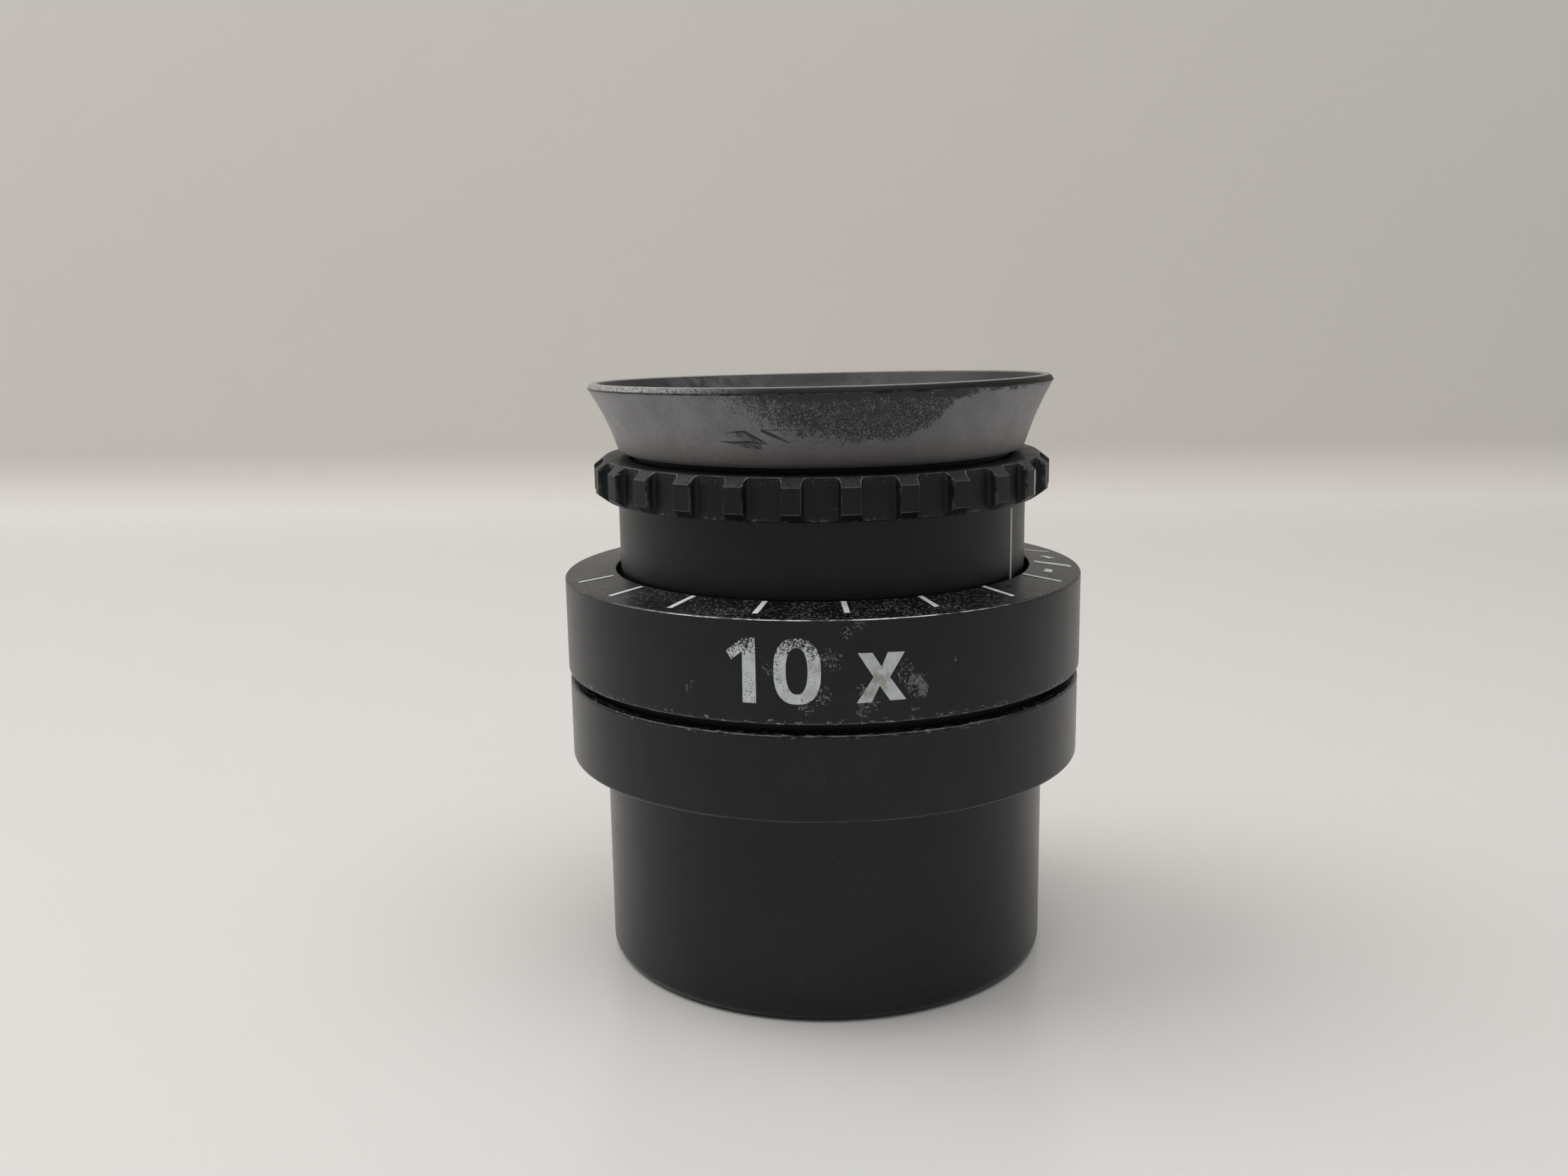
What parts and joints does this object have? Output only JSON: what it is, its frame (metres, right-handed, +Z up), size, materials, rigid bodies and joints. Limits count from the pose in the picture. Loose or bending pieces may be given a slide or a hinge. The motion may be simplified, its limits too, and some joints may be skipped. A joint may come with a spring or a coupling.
{
  "type": "microscope eyepiece",
  "caption": "Wide-field microscope eyepiece: plain mounting tube, turning dioptre scale ring, sliding ocular head, and a toothed ring that twists the rubber eyecup up.",
  "frame": {"origin": "centre of the mounting tube's bottom rim", "axes": "+Z up the optical axis from the tube's rim to the eyecup, -Y towards the reader of the dioptre scale, +X to the right"},
  "size_m": [0.0406, 0.0406, 0.0458],
  "materials": {
    "anodised_tube": "satin black anodised",
    "anodised_scale": "satin black anodised, bright at worn edges",
    "anodised_sleeve": "satin black anodised",
    "anodised_inner": "matt black anodised",
    "cam_brass": "turned",
    "pin_steel": "ground",
    "grip_plastic": "matt black moulded, worn at the teeth",
    "guide_plastic": "natural acetal",
    "eyecup_rubber": "aged black rubber with a grey bloom",
    "lens_glass": "polished and coated"
  },
  "bodies": {
    "root": {"mount_tube": "anodised_tube", "guide_barrel": "anodised_inner", "guide_lock_ring": "anodised_inner", "field_stop": "anodised_inner", "field_stop_retainer": "anodised_inner", "stop_screw": "pin_steel"},
    "diopter": {"diopter_ring": "anodised_scale", "cam_barrel": "cam_brass", "ring_screw_1": "pin_steel", "ring_screw_2": "pin_steel"},
    "ocular": {"ocular_sleeve": "anodised_sleeve", "optics_barrel": "anodised_inner", "cam_pin_1": "pin_steel", "cam_pin_2": "pin_steel", "eye_lens": "lens_glass", "upper_spacer": "anodised_inner", "upper_doublet_crown": "lens_glass", "upper_doublet_flint": "lens_glass", "lower_spacer": "anodised_inner", "lower_doublet_crown": "lens_glass", "lower_doublet_flint": "lens_glass", "field_lens_retainer": "anodised_inner", "eye_lens_retainer": "anodised_inner"},
    "eyecup_carriage": {"eyecup_guide_ring": "guide_plastic"},
    "eyecup_assembly": {"grip_ring": "grip_plastic", "lift_pin": "pin_steel", "skirt_end_ring": "grip_plastic", "eyecup_hub": "grip_plastic", "eyecup": "eyecup_rubber"}
  },
  "joints": [
    {"name": "diopter_turn", "type": "hinge", "parent": "root", "child": "diopter", "pos_m": [0, 0, 0.027], "axis": [0, 0, 1], "range_deg": [-116.4, 135.8]},
    {"name": "ocular_slide", "type": "slide", "parent": "root", "child": "ocular", "axis": [0, 0, 1], "range_m": [-0.00438, 0.00376]},
    {"name": "eyecup_turn", "type": "hinge", "parent": "eyecup_carriage", "child": "eyecup_assembly", "pos_m": [0, 0, 0.038], "axis": [0, 0, 1], "range_deg": [0, 300]},
    {"name": "eyecup_slide", "type": "slide", "parent": "ocular", "child": "eyecup_carriage", "axis": [0, 0, 1], "range_m": [0, 0.0046]}
  ],
  "couplings": [
    {"joint": "ocular_slide", "follows": "diopter_turn", "m_per_rad": -0.0018459},
    {"joint": "eyecup_slide", "follows": "eyecup_turn", "m_per_rad": 0.00087854}
  ]
}
